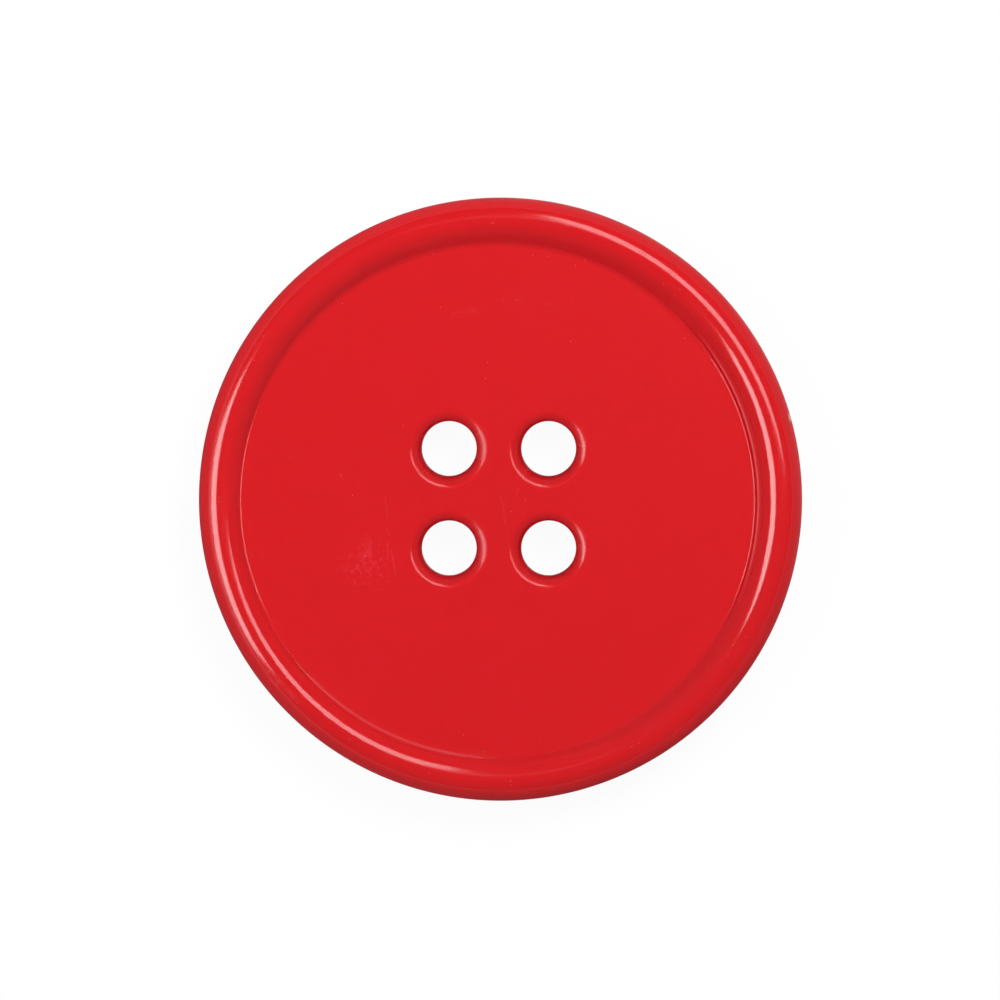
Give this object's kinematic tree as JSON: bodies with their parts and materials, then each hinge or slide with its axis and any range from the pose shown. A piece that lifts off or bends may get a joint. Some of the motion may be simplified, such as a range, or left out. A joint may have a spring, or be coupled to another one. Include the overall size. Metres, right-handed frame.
{
  "type": "sew-through button",
  "caption": "Round glossy plastic coat button with a rounded rim, a shallow well, thread holes with soft lips on a square, and a back that slopes down to a flat seat.",
  "frame": {"origin": "centre of the flat seat on the back, where the button lies on cloth", "axes": "+Z along the button's axis, out of its face; +X and +Y along the sides of the square of thread holes"},
  "size_m": [0.028, 0.028, 0.0034],
  "materials": {
    "red_gloss": "glossy moulded plastic with fine scratches"
  },
  "bodies": {
    "root": {"button": "red_gloss"}
  },
  "joints": []
}
